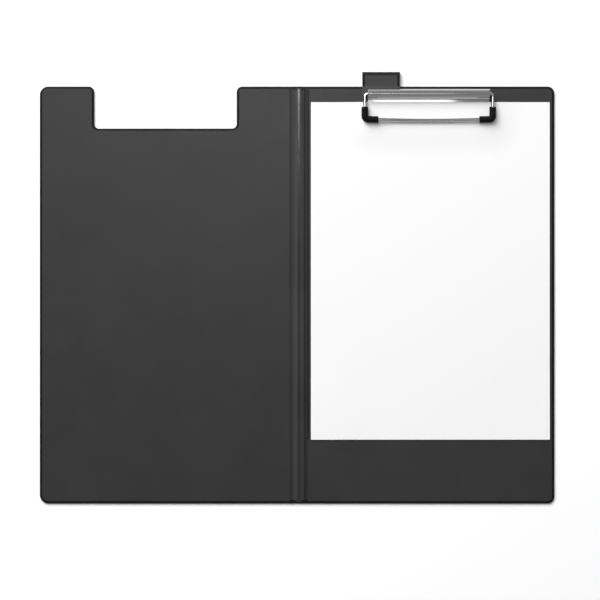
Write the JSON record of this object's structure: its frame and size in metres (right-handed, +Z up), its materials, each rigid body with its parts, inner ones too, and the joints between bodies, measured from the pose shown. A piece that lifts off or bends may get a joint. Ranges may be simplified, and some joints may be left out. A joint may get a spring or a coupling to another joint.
{
  "type": "clipboard folder",
  "caption": "Fold-over clipboard folder lying open: a notched cover, a spine strip and a back board in dark vinyl, with a wire bail clip, pen loop and clamped paper.",
  "frame": {"origin": "on the table, under the middle of the open folder's outline", "axes": "+X to the right, from the cover to the back board; +Y along the leaves, towards the clip; +Z up from the table"},
  "size_m": [0.4536, 0.3802, 0.0126],
  "materials": {
    "greyboard": "uncoated grey board, cut edges",
    "outer_film": "dark grey soft vinyl, fine leather-like grain, satin",
    "inner_film": "dark grey soft vinyl, fine grain, satin",
    "crease_film": "dark grey soft vinyl, welded and pressed smooth",
    "loop_film": "dark grey soft vinyl strip, satin",
    "chromed_sheet": "bright nickel-chrome plated sheet steel",
    "chromed_wire": "bright nickel-chrome plated spring wire",
    "rivet_steel": "nickel-plated steel, slightly dull",
    "washer_steel": "zinc-plated steel",
    "grip_plastic": "black moulded plastic, satin",
    "writing_paper": "blank white uncoated paper"
  },
  "bodies": {
    "back_leaf": {"back_board": "greyboard", "back_outer_film": "outer_film", "back_inner_film": "inner_film", "pen_loop": "loop_film", "clip_plate": "chromed_sheet", "clip_rivets": "rivet_steel", "rivet_washers": "washer_steel"},
    "spine": {"spine_strip": "greyboard", "spine_inner_film": "inner_film", "spine_outer_film": "outer_film", "back_crease_film": "crease_film", "cover_crease_film": "crease_film"},
    "cover": {"cover_board": "greyboard", "cover_outer_film": "outer_film", "cover_inner_film": "inner_film"},
    "bail": {"bail_wire": "chromed_wire", "corner_grip_left": "grip_plastic", "corner_grip_right": "grip_plastic"},
    "paper": {"paper_sheets": "writing_paper"}
  },
  "joints": [
    {"name": "spine_fold", "type": "hinge", "parent": "back_leaf", "child": "spine", "pos_m": [0.0075, 0, 0.00145], "axis": [0, 1, 0], "range_deg": [-90, 90]},
    {"name": "cover_fold", "type": "hinge", "parent": "spine", "child": "cover", "pos_m": [-0.005, 0, 0.00145], "axis": [0, 1, 0], "range_deg": [-90, 90]},
    {"name": "bail_lift", "type": "hinge", "parent": "back_leaf", "child": "bail", "pos_m": [0.11575, 0.1703, 0.0082], "axis": [-1, 0, 0], "range_deg": [0, 100], "stiffness_Nm_per_rad": 0.2, "springref_deg": -85.94},
    {"name": "paper_slide", "type": "slide", "parent": "back_leaf", "child": "paper", "axis": [0, -1, 0], "range_m": [0, 0.297]}
  ]
}
